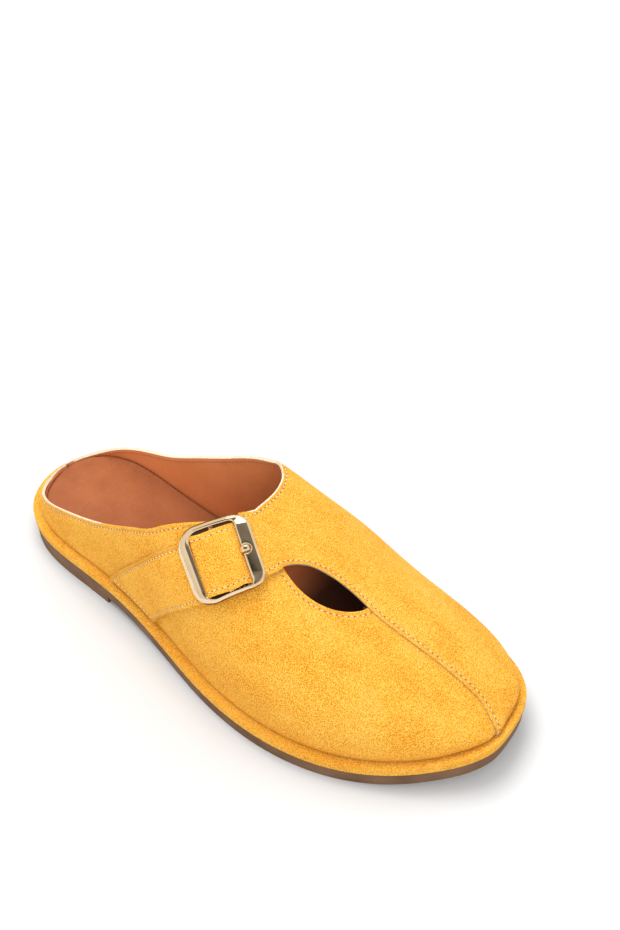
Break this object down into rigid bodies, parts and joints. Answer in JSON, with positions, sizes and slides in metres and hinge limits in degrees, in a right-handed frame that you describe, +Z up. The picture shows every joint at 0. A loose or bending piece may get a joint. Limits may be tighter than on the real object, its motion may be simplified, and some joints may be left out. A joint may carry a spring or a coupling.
{
  "type": "slipper",
  "caption": "Right-foot closed-toe suede mule with a wrapped platform, low heel, low counter, leaf-shaped cut-out and a buckled instep strap.",
  "frame": {"origin": "centre of the footprint, on the surface that the shoe stands on", "axes": "+X to the inner side of the foot, +Y to the heel, +Z up"},
  "size_m": [0.0988, 0.259, 0.0739],
  "materials": {
    "sole_rubber": "matt brown rubber",
    "suede": "yellow suede, napped",
    "footbed_leather": "smooth tan leather",
    "buckle_metal": "polished pale gold plating"
  },
  "bodies": {
    "root": {"outsole": "sole_rubber", "heel_lift": "sole_rubber", "midsole": "suede", "insole": "footbed_leather", "upper": "suede", "strap": "suede", "buckle_frame": "buckle_metal", "buckle_prong": "buckle_metal"}
  },
  "joints": []
}
